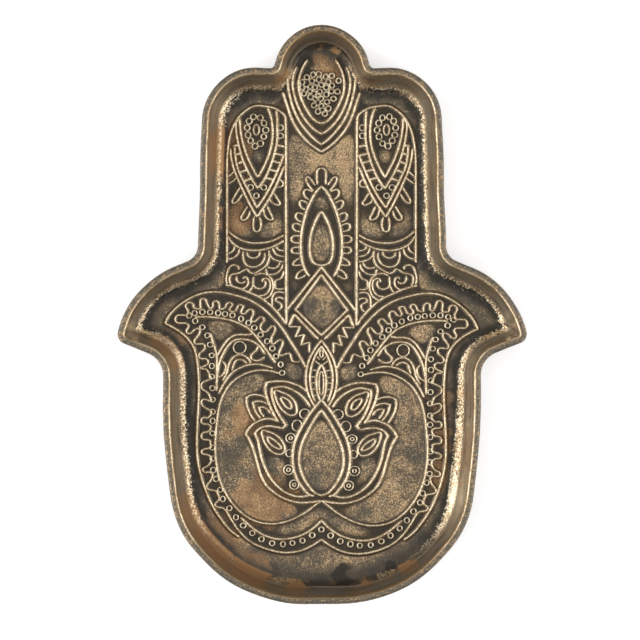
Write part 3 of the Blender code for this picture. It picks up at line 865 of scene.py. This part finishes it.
# Soot with painted shade, at the fingertip, the finger corners and the wrist.
SOOT_AND_SHADE_SPOTS = [
    (-9, 91, 7), (9, 91, 6), (0, 96, 6), (-27, 78, 6), (25, 79, 6), (8, -91, 5), (24, -86, 4),
]
# Painted highlights: three places where the flakes and the wall glints are brighter.
GLINT_SPOTS = [(-37, 74, 10), (-56, -13, 9), (45, -62, 13)]
SPOT_GRAIN = 6.0
SPOT_WARP = 12.0
SPOT_RISE = 0.5


def spots(place, centres):
    """Ragged patches, 1 in the middle and 0 outside, that reach further up the wall than across it."""
    kind = "ShaderNodeVectorMath"
    sockets = {"Vector": place, "Scale": 1 / (SPOT_GRAIN * MM), "Detail": 4.0}
    ragged = place.node("ShaderNodeTexNoise", sockets=sockets, output=1)
    shift = place.node(kind, {"operation": "SUBTRACT"}, {0: ragged, 1: (0.5, 0.5, 0.5)})
    flat = place.node(kind, {"operation": "MULTIPLY"}, {0: place, 1: (1, 1, SPOT_RISE)})
    warp = (SPOT_WARP * MM, SPOT_WARP * MM, SPOT_WARP * MM)
    warped = place.node(kind, {"operation": "MULTIPLY_ADD"}, {0: shift, 1: warp, 2: flat})
    found = None
    for x, y, radius in centres:
        middle = (x * MM, y * MM, FLOOR_Z * SPOT_RISE * MM)
        away = place.node(kind, {"operation": "DISTANCE"}, {0: warped, 1: middle}, output=1)
        spot = 1 - away / (radius * MM)
        found = found.most(spot) if found else spot
    return found.most(0.0)


print("patches:", len(COPPER_SPOTS), "of copper,", len(SOOT_AND_SHADE_SPOTS), "of soot")

# %% Where the cloth rubbed, and painted highlights
PANEL_EDGE = (12.25, 10.95)
PANEL_FROM = (5, 30)
# The next three move the painted highlight on the cove further down its slope in the palm and on the right
# wall.
PALM_FROM = (25, -15)
RIGHT_WALL_FROM = (40, 47)
LOW_PALM_FROM = (-15, -45)


def mark_wear(at):
    """Specks on the floor and the cove, and flakes on the cove with a painted highlight on the long sides.
    """
    at.speck = at.dust * 0.6 + (at.fine * 0.5 + at.streak * 0.5).step(0.3, 0.7) * 0.4
    panel = (at.across * at.across).step(*[edge**2 for edge in PANEL_EDGE]) * at.along.step(*PANEL_FROM)
    pressure = (at.broad * 0.6 + at.patch * 0.4).step(0.36, 0.66) * 0.5 + panel * 0.17 + 0.12
    at.pressure = pressure * at.shore.step(1.5, 6.0)
    rubbed = (at.speck * 0.9 + at.pressure * 0.75).step(0.65, 1.1)
    at.rubbed = rubbed * at.openness.step(0.1, 0.45) * at.floor
    worn = (at.speck * 0.7 + at.broad.step(0.42, 0.6) * 0.5).step(0.65, 1.0)
    at.worn = worn * at.cove * at.upright.step(0.985, 0.93)
    # Painted highlight: climb brightens the flakes on the slopes that mirror the side lamps.
    lower = at.across.step(*RIGHT_WALL_FROM) * at.along.step(*LOW_PALM_FROM) + at.along.step(*PALM_FROM)
    climb = (at.upright - lower * 0.06).step(0.93, 0.82)
    glints = spots(at.place, GLINT_SPOTS) * 0.25
    at.shine = at.flake * 0.5 + at.fine * 0.3 + at.patch * 0.2 + glints
    # Rubbed flakes with a painted highlight, only on the hand's long sides.
    at.glitter = (at.shine + climb * 0.45).step(0.66, 1.0) * at.cove * at.sides


# %% Soot, painted shade and copper
def mark_patches(at):
    """Soot with painted shade at the foot of the wall and in listed spots, soot in crowded places, and
    copper that shows through.
    """
    mottle = (at.patch - 0.5) * 0.9 + (at.fine - 0.5) * 0.4
    # Painted shade: the foot of the wall is darker on the long sides, on top of the soot left there.
    soot = (at.toe * (1 - at.worn) * (at.sides * 0.5 + 0.5)).most(at.room.step(0.95, 0.5))
    soot = soot.most((spots(at.place, SOOT_AND_SHADE_SPOTS) + mottle).step(0.15, 0.5))
    at.soot = soot * (at.floor + at.cove)
    copper = (spots(at.place, COPPER_SPOTS) + mottle).step(0.1, 0.4) * (1 - at.rim) * (1 - at.outside)
    copper = copper * at.wall.most(at.cove).most(at.fine.step(0.35, 0.65))
    gutter = at.upright.step(0.95, 0.99) * at.toe
    at.copper = copper * (1 - gutter) * (1 - at.glitter * 0.7)


# %% Rubbed rim and crests
def mark_crests(at):
    """Specks on top of the rim, the bare metal of the raised lines, and the rim's inner edge, rubbed bare
    and painted as a highlight.
    """
    at.speckle = at.rim * (at.flake * 0.5 + at.fine * 0.5 + at.broad * 0.3).step(0.66, 0.95)
    # The rim's inner edge is rubbed bare and painted as a highlight, more on the long sides.
    edge = (at.patch * 0.5 + at.fine * 0.5).step(0.3, 0.5) * (at.sides * 0.5 + 0.5)
    height = at.crest * (1 - at.rim * (1 - edge))
    at.flank = height.step(0.12, 0.4)
    at.bare = height.step(0.45, 0.9)


# %% [markdown]
# ## Colour, layer by layer
# The colours go on in the order in which the real finish did: patina first, then what the cloth rubbed
# out of it, then the soot that stayed behind, and bare gold last. Painted shade goes on with the soot and
# painted highlights with the rubbed flakes. At every step a mask chooses between the colour so far and
# the next one.


# %% Colours of the floor and the wall
def floor_colour(at):
    """Patina with rubbed specks, soot with painted shade, and flakes with a painted highlight."""
    brown = (at.patch.step(0.35, 0.7) * 0.5 + at.pressure * 0.8).least(1.0)
    ground = brown.tint(PATINA, PATINA_BROWN)
    ground = at.rubbed.most(at.worn).tint(ground, at.dust.step(0.5, 1.0).tint(RUBBED, SAND))
    ground = (at.soot * 0.9).tint(ground, SOOT_AND_SHADE)
    return at.glitter.tint(ground, at.shine.step(0.4, 0.85).tint(RUBBED, PALE_GOLD))


def wall_colour(at):
    """A striped inner wall with painted highlights on the long sides, and a lightly rubbed patina on the
    outer one.
    """
    inner = (at.patch * 0.3 + at.broad * 0.35 + at.stripes * 0.35).step(0.42, 0.58)
    inner = inner.tint(WALL_GREY, WALL_BROWN)
    inner = (at.stripes.step(0.5, 0.66) * 0.45).tint(inner, PATINA)
    # Painted highlight: pale gold glints on the inner wall of the long sides.
    glints = (at.shine * 0.6 + (1 - at.stripes) * 0.4).step(0.5, 0.66) * at.sides
    inner = (glints * 0.25).tint(inner, PALE_GOLD)
    outer = (at.patch * 0.4 + at.broad * 0.3 + at.stripes * 0.3).step(0.4, 0.62)
    outer = outer.tint(PATINA, PATINA_BROWN)
    touched = (at.speck * 0.8 + at.broad.step(0.38, 0.66) * 0.5).step(0.6, 1.2)
    return at.outside.tint(inner, (touched * 0.7).tint(outer, RUBBED))


def bronze_colour(at):
    """Floor and wall with copper patches, the rim, soot in narrow places and gold on the crests."""
    ground = at.wall.tint(floor_colour(at), wall_colour(at))
    ground = (at.copper * 0.85).tint(ground, at.wall.tint(COPPER, WALL_COPPER))
    ground = at.rim.tint(ground, at.speckle.tint(RIM_GREY, RUBBED))
    narrow = at.openness.step(0.4, 0.05) * at.floor
    ground = (at.recess * 0.65).most(narrow * 0.5).tint(ground, SOOT_AND_SHADE)
    gold = (at.flake * 0.3 + at.fine * 0.4 + at.patch * 0.4).step(0.38, 0.68)
    return at.bare.tint(at.flank.tint(ground, RUBBED), gold.tint(GOLD, PALE_GOLD))


# %% Bronze material
def antique_bronze():
    material = bpy.data.materials.new("rubbed_bronze")
    material.use_nodes = True
    surface = material.node_tree.nodes["Principled BSDF"].inputs
    link = material.node_tree.links.new
    at = read_casting(Wire(material.node_tree))
    for mark in (mark_zones, mark_wear, mark_patches, mark_crests):
        mark(at)
    link(bronze_colour(at).socket, surface["Base Color"])
    metal = at.wall * 0.6
    for mask in (at.flank, at.rubbed, at.worn, at.glitter, at.speckle):
        metal = metal.most(mask)
    link((metal * 0.35 + 0.55).socket, surface["Metallic"])
    link((at.fine * 0.16 + 0.24).socket, surface["Roughness"])
    lumps = (at.dust * 0.4 + at.fine * 0.6) * (1 - at.wall) * 0.6 + at.place.grain(1.6, 2.0) * 0.4
    sockets = {"Strength": 0.7, "Distance": 0.2 * MM, "Height": lumps}
    link(lumps.node("ShaderNodeBump", sockets=sockets).socket, surface["Normal"])
    return material


bronze = antique_bronze()
print("bronze nodes:", len(bronze.node_tree.nodes))

# %% [markdown]
# ## Raised lines
# Each stroke becomes a smooth curve, drops onto the casting and carries a small ridge section along it.
# The section has flat feet, which hold the darkest patina, and its height is kept on the mesh as the
# crest value. The ends shrink, so a line runs out as a rounded end and not as a cut.

# %% Section of a ridge, in half widths: across and up
RIDGE = [(-1.8, 0.05), (-1.05, 0.06), (-0.85, 0.5), (-0.5, 0.9), (0, 1.08)]
RIDGE += [(-across, up) for across, up in RIDGE[-2::-1]] + [(0, -0.6)]
RIDGE_TOP = 1.08
FOOT = 1.05
APRON = 1.8


def section_curve(name, points):
    curve = bpy.data.curves.new(name, "CURVE")
    curve.dimensions = "3D"
    spline = curve.splines.new("POLY")
    spline.points.add(len(points) - 1)
    spline.use_cyclic_u = True
    for point, (across, up) in zip(spline.points, points):
        point.co = (-across, -up, 0, 1)
    return add_piece(name, curve)


def stroke_curve(name):
    curve = bpy.data.curves.new(name, "CURVE")
    curve.dimensions = "3D"
    for width, points, closed in strokes:
        spline = curve.splines.new("POLY")
        spline.points.add(len(points) - 1)
        spline.use_cyclic_u = closed
        for point, (x, y) in zip(spline.points, points):
            point.co = (x * MM, y * MM, RIM_Z * MM, 1)
            point.radius = width / 2 * MM
    return add_piece(name, curve)


# %% Trees that sweep the ridge
def marked_section(section):
    """The section's curve, with its crest and recess values stored on its points."""
    outline = shape_of(section)
    point = outline.node("GeometryNodeInputPosition")
    crest = (point.part("Y") / -RIDGE_TOP).most(0.0)
    recess = ((APRON - point.part("X").math("ABSOLUTE", point.part("X"))) / (APRON - FOOT)).least(1.0)
    return keep_value(keep_value(outline, "crest", crest), "recess", recess)


def sweep(path, section, scale):
    upright = path.node("GeometryNodeSetCurveNormal", {"mode": "Z_UP"}, {0: path})
    sockets = {0: upright, 1: marked_section(section), "Scale": scale, "Fill Caps": True}
    return path.node("GeometryNodeCurveToMesh", sockets=sockets)


def drop_onto(path, ground):
    """Lowers a path onto the casting below it."""
    sockets = {0: ground, "Source Position": path.node("GeometryNodeInputPosition")}
    sockets |= {"Ray Direction": (0, 0, -1), "Ray Length": RIM_Z * MM}
    landing = path.node("GeometryNodeRaycast", sockets=sockets, output=1)
    return path.node("GeometryNodeSetPosition", sockets={0: path, "Position": landing})


def raised_line_tree():
    kinds = {"Strokes": "Object", "Section": "Object", "Dish": "Object", "End": "Float"}
    tree, entry = new_tree("raised_lines", kinds)
    path = shape_of(entry["Strokes"])
    path = drop_onto(path, shape_of(entry["Dish"]))
    along = path.node("GeometryNodeSplineParameter", output=1)
    whole = path.node("GeometryNodeSplineLength")
    closed = path.node("GeometryNodeInputSplineCyclic")
    to_end = along.least(whole - along) / entry["End"]
    rounded = to_end.math("SQRT", to_end).least(1.0).most(0.4).most(closed)
    close_tree(sweep(path, entry["Section"], path.node("GeometryNodeInputRadius") * rounded), bronze)
    return tree


# %% Sweep every stroke
LINE_END = 0.5

line_section = section_curve("line_section", RIDGE)
drawing = stroke_curve("drawing")
raised_lines = add_piece("raised_lines", bpy.data.meshes.new("raised_lines"))
line_values = {"Strokes": drawing, "Section": line_section, "Dish": dish}
run_tree(raised_line_tree(), raised_lines, line_values | {"End": LINE_END * MM})

# %% [markdown]
# ## Ring beads
# A ring is a circle that carries a plainer ridge with few faces, because there are so many of them.
# Instance on Points sets it on every drawn middle, a fixed seed turns the set slightly uneven, and
# Realize Instances makes it one mesh.

# %% Tree that sets the rings
RING_RIDGE = [(-1.2, 0.0), (-0.45, 1.2), (0.45, 1.2), (1.2, 0.0), (0, -0.6)]
RING_SIDES = 14
RING_HALF = 0.3
RING_UNEVEN = 0.08
RING_SEED = 4


def ring_tree():
    kinds = {"Section": "Object", "Sides": "Int", "Half width": "Float", "Seed": "Int"}
    tree, entry = new_tree("ring_beads", kinds)
    sides = {0: entry["Sides"], "Radius": 1.0}
    circle = entry["Sides"].node("GeometryNodeCurvePrimitiveCircle", sockets=sides)
    named = {"Name": "ring_radius"}
    radius = circle.node("GeometryNodeInputNamedAttribute", {"data_type": "FLOAT"}, named)
    spread = {"Min": 1 - RING_UNEVEN, "Max": 1 + RING_UNEVEN, "Seed": entry["Seed"]}
    wide = circle.node("FunctionNodeRandomValue", sockets=spread, output=1)
    long = circle.node("FunctionNodeRandomValue", sockets=spread | {"Seed": entry["Seed"] + 1}, output=1)
    scale = circle.node("ShaderNodeCombineXYZ", sockets={0: radius * wide, 1: radius * long, 2: 1.0})
    sockets = {0: entry["Geometry"], "Instance": circle, "Scale": scale}
    circles = circle.node("GeometryNodeInstanceOnPoints", sockets=sockets)
    circles = circles.node("GeometryNodeRealizeInstances", sockets={0: circles})
    close_tree(sweep(circles, entry["Section"], entry["Half width"]), bronze)
    return tree


# %% Set every ring
ring_mesh = bpy.data.meshes.new("ring_beads")
ring_mesh.from_pydata([(x * MM, y * MM, FLOOR_Z * MM) for _, x, y in rings], [], [])
ring_radii = ring_mesh.attributes.new("ring_radius", "FLOAT", "POINT")
ring_radii.data.foreach_set("value", [radius * MM for radius, _, _ in rings])
ring_beads = add_piece("ring_beads", ring_mesh)
ring_section = section_curve("ring_section", RING_RIDGE)
ring_values = {"Section": ring_section, "Sides": RING_SIDES, "Half width": RING_HALF * MM}
run_tree(ring_tree(), ring_beads, ring_values | {"Seed": RING_SEED})

# %% [markdown]
# ## Where the cloth could not reach
# When the casting is rubbed, the cloth skips over narrow gaps and leaves them dark. Geometry Proximity
# measures how far every point of the dish lies from the nearest line or ring, and how far from the cove.
# Blur Attribute evens the first distance out, which tells a crowded place from an open one. All three are
# kept on the mesh in millimetres and tell the bronze where to stay dark.

# %% Openness of the floor, and its distance from the cove
WALL_SLOPE = 0.3
FLOOR_SLOPE = 0.97
ROOM_MOST = 4.0
ROOM_ROUNDS = 12


def gap_to(target):
    """Distance in millimetres from each point to the target."""
    sockets = {0: target, "Sample Position": target.node("GeometryNodeInputPosition")}
    return target.node("GeometryNodeProximity", sockets=sockets, output=1) / MM


def openness_tree():
    tree, entry = new_tree("openness", {"Lines": "Object", "Rings": "Object"})
    dish_shape = entry["Geometry"]
    pieces = [shape_of(entry["Lines"]), shape_of(entry["Rings"])]
    raised = dish_shape.node("GeometryNodeJoinGeometry", sockets={0: pieces})
    slope = dish_shape.node("GeometryNodeInputNormal").part("Z")
    sloping = slope.math("GREATER_THAN", (slope - WALL_SLOPE) * (FLOOR_SLOPE - slope))
    sockets = {0: dish_shape, "Selection": sloping}
    cove = dish_shape.node("GeometryNodeSeparateGeometry", {"domain": "FACE"}, sockets)
    openness = gap_to(raised)
    around = {"Value": openness.least(ROOM_MOST), "Iterations": ROOM_ROUNDS}
    room = dish_shape.node("GeometryNodeBlurAttribute", {"data_type": "FLOAT"}, around)
    marked = keep_value(keep_value(dish_shape, "openness", openness), "room", room)
    close_tree(keep_value(marked, "shore", gap_to(cove)), bronze)
    return tree


run_tree(openness_tree(), dish, {"Lines": raised_lines, "Rings": ring_beads})

# %% [markdown]
# ## Felt pads
# Four die-cut felt discs keep the metal off the table. Felt has no weave: its surface is a mat of short
# fibres, so the discs get a slightly uneven skin, softened edges and a fibrous, dull material.

# %% Felt material
FELT_DARK = (0.012, 0.011, 0.011)
FELT_PALE = (0.05, 0.048, 0.046)


def black_felt():
    material = bpy.data.materials.new("matted_felt")
    material.use_nodes = True
    surface = material.node_tree.nodes["Principled BSDF"].inputs
    bench = Wire(material.node_tree)
    link = material.node_tree.links.new
    place = bench.node("ShaderNodeTexCoord", output="Object")
    fibres = place.grain(0.12, 3.0, (6, 1, 1)) * 0.5 + place.grain(0.12, 3.0, (1, 6, 1)) * 0.5
    tufts = place.grain(0.9, 3.0)
    shade = (fibres * 0.7 + tufts * 0.3).step(0.35, 0.68).tint(FELT_DARK, FELT_PALE)
    link(shade.socket, surface["Base Color"])
    sockets = {"Strength": 0.7, "Distance": 0.15 * MM, "Height": fibres}
    matted = bench.node("ShaderNodeBump", sockets=sockets)
    link(matted.socket, surface["Normal"])
    surface["Roughness"].default_value = 0.95
    surface["Sheen Weight"].default_value = 0.25
    return material


# %% Felt discs under the dish
FELT_FUZZ = 0.1
FELT_EDGE = 0.5
FELT_EDGE_SINK = 0.35
FELT_SIDES = 72
pad_names = sorted(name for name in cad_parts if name.startswith("felt_pad"))
pad_boxes = [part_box(name) for name in pad_names]
pad_size = pad_boxes[0][1] - pad_boxes[0][0]


def felt_tree(material):
    kinds = {"Radius": "Float", "Thickness": "Float", "Edge": "Float", "Fuzz": "Float"}
    tree, entry = new_tree("felt_pads", kinds)
    size = {"Vertices": FELT_SIDES, "Side Segments": 4, "Fill Segments": 16}
    size |= {"Radius": entry["Radius"], "Depth": entry["Thickness"]}
    disc = entry["Radius"].node("GeometryNodeMeshCylinder", {"fill_type": "TRIANGLE_FAN"}, size)
    point = disc.node("GeometryNodeInputPosition")
    x, y = point.part("X"), point.part("Y")
    from_middle = (x * x + y * y).math("SQRT", x * x + y * y)
    edge = from_middle.step(entry["Radius"] - entry["Edge"], entry["Radius"])
    softened = 1 - edge * FELT_EDGE_SINK
    fuzz = (point.grain(0.5, 3.0) - 0.5) * entry["Fuzz"]
    lift = point.part("Z") * softened + fuzz
    moved = disc.node("ShaderNodeCombineXYZ", sockets={0: x, 1: y, 2: lift})
    disc = disc.node("GeometryNodeSetPosition", sockets={0: disc, "Position": moved})
    pads = disc.node("GeometryNodeInstanceOnPoints", sockets={0: entry["Geometry"], "Instance": disc})
    close_tree(pads, material)
    return tree


pad_mesh = bpy.data.meshes.new("felt_pads")
pad_mesh.from_pydata([(low + high) / 2 for low, high in pad_boxes], [], [])
felt_pads = add_piece("felt_pads", pad_mesh)
pad_values = {"Radius": pad_size.x / 2, "Thickness": pad_size.z - FELT_FUZZ * MM}
pad_values |= {"Edge": FELT_EDGE * MM, "Fuzz": FELT_FUZZ * MM}
run_tree(felt_tree(black_felt()), felt_pads, pad_values)

# %% [markdown]
# ## Handing the pieces to the frame
# The drawing and the sections have done their work and go. The casting, its lines and its rings stand
# for the one packed dish, the felt discs stand for the imported pads, and all of them ride on the one body.

# %% Bodies and hidden parts
for helper in (drawing, line_section, ring_section):
    bpy.data.objects.remove(helper, do_unlink=True)
for piece in (dish, raised_lines, ring_beads):
    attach(piece, "root")
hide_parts("dish_body")
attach(felt_pads, "root")
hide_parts(*pad_names)
